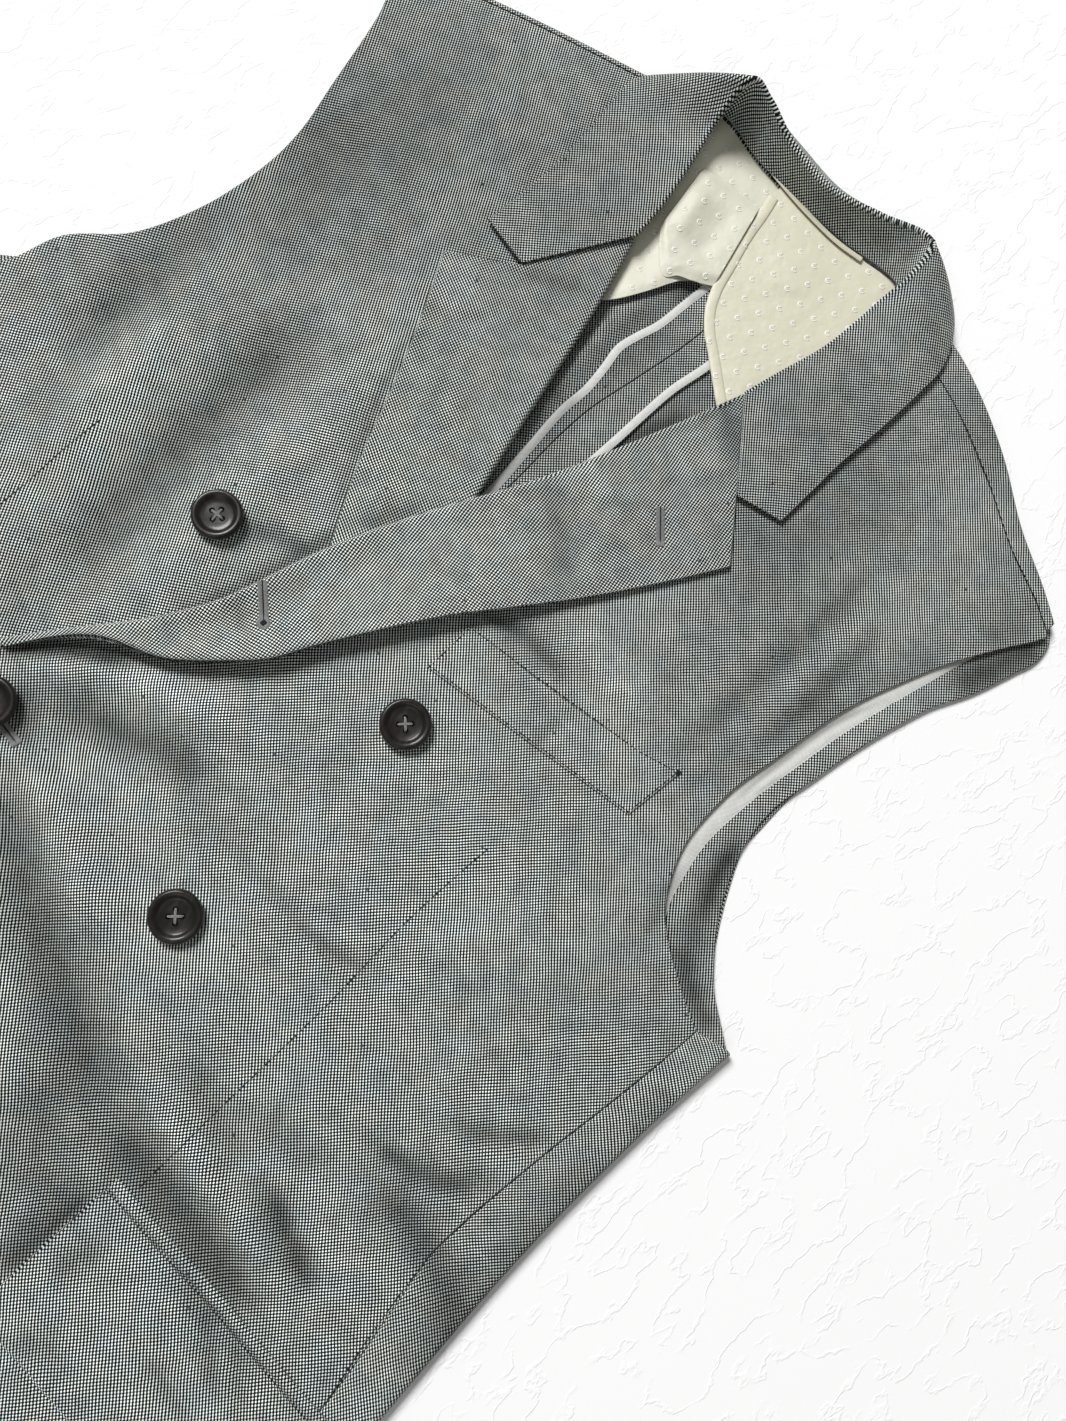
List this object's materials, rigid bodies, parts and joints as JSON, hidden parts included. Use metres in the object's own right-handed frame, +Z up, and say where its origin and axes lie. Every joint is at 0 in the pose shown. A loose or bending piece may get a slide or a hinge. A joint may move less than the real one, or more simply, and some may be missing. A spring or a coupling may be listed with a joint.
{
  "type": "sleeveless coat",
  "caption": "Sleeveless double-breasted wool coat laid flat on its back, fronts lapped, notched lapels turned back, raised collar, half-lined neck, welt and flap pockets, dark buttons.",
  "frame": {"origin": "bottom centre of the bounding box, on the surface that the coat lies on", "axes": "+X to the wearer's left, +Y from hem to neck, +Z up from the surface, through the layers from back to front"},
  "size_m": [0.504, 0.8086, 0.032],
  "materials": {
    "wool": "fine birdseye wool, ivory and dark slate threads, soft dry surface",
    "lining": "cream satin with small woven spots",
    "binding": "off-white bias binding",
    "horn": "polished very dark brown horn"
  },
  "bodies": {
    "root": {"armhole_binding": "binding", "armhole_facing": "wool", "back_left": "wool", "back_right": "wool", "breast_welt": "wool", "button_chest_left": "horn", "button_chest_right": "horn", "button_waist_left": "horn", "button_waist_right": "horn", "collar": "wool", "front_left": "wool", "front_right": "wool", "hanger_loop": "lining", "hip_flap_left": "wool", "hip_flap_right": "wool", "hip_jet_left": "wool", "hip_jet_right": "wool", "lapel_left": "wool", "lapel_right": "wool", "lining_left": "lining", "lining_right": "lining", "seam_allowance_left": "wool", "seam_allowance_right": "wool", "seam_binding_left": "binding", "seam_binding_right": "binding", "side_panel_left": "wool", "side_panel_right": "wool"}
  },
  "joints": []
}
